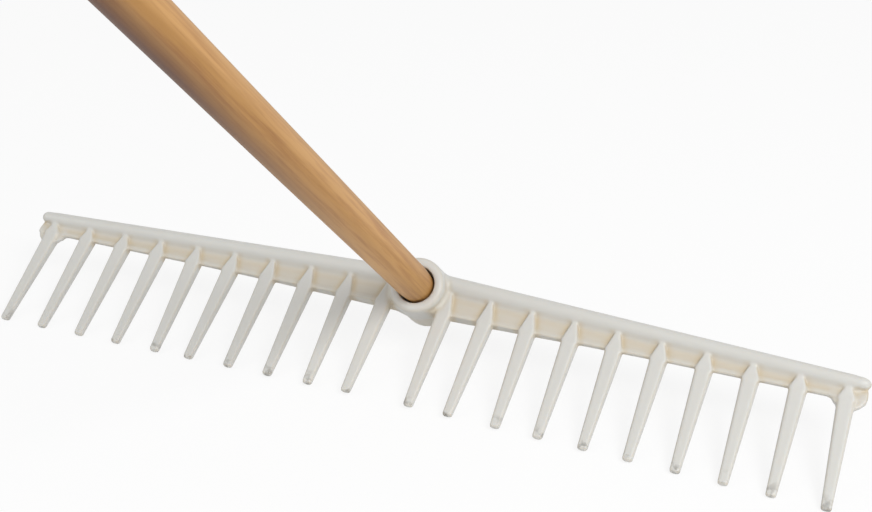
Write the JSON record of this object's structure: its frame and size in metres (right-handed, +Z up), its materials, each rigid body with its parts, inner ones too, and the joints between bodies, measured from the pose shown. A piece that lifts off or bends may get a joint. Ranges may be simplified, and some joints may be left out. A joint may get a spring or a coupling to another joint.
{
  "type": "garden rake",
  "caption": "Rake with a long moulded plastic head of tapered tines under a beaded bar, and a straight wooden handle in a ringed centre socket.",
  "frame": {"origin": "on the ground, in the middle of the line on which the outer tines' tips rest", "axes": "+X along the bar, +Z up, and the handle rises from the socket towards -Y and +Z at 45 degrees"},
  "size_m": [0.6926, 1.0843, 1.0975],
  "materials": {
    "plastic": "off-white moulded plastic, satin, lightly worn at the tips",
    "wood": "plain turned light-brown wood with fine lengthwise grain",
    "steel": "zinc-plated steel"
  },
  "bodies": {
    "root": {"bar_arm_left": "plastic", "bar_arm_right": "plastic", "handle_socket": "plastic", "tine_01": "plastic", "tine_02": "plastic", "tine_03": "plastic", "tine_04": "plastic", "tine_05": "plastic", "tine_06": "plastic", "tine_07": "plastic", "tine_08": "plastic", "tine_09": "plastic", "tine_10": "plastic", "tine_11": "plastic", "tine_12": "plastic", "tine_13": "plastic", "tine_14": "plastic", "tine_15": "plastic", "tine_16": "plastic", "tine_17": "plastic", "tine_18": "plastic", "tine_19": "plastic", "tine_20": "plastic", "handle": "wood", "fixing_screw": "steel"}
  },
  "joints": []
}
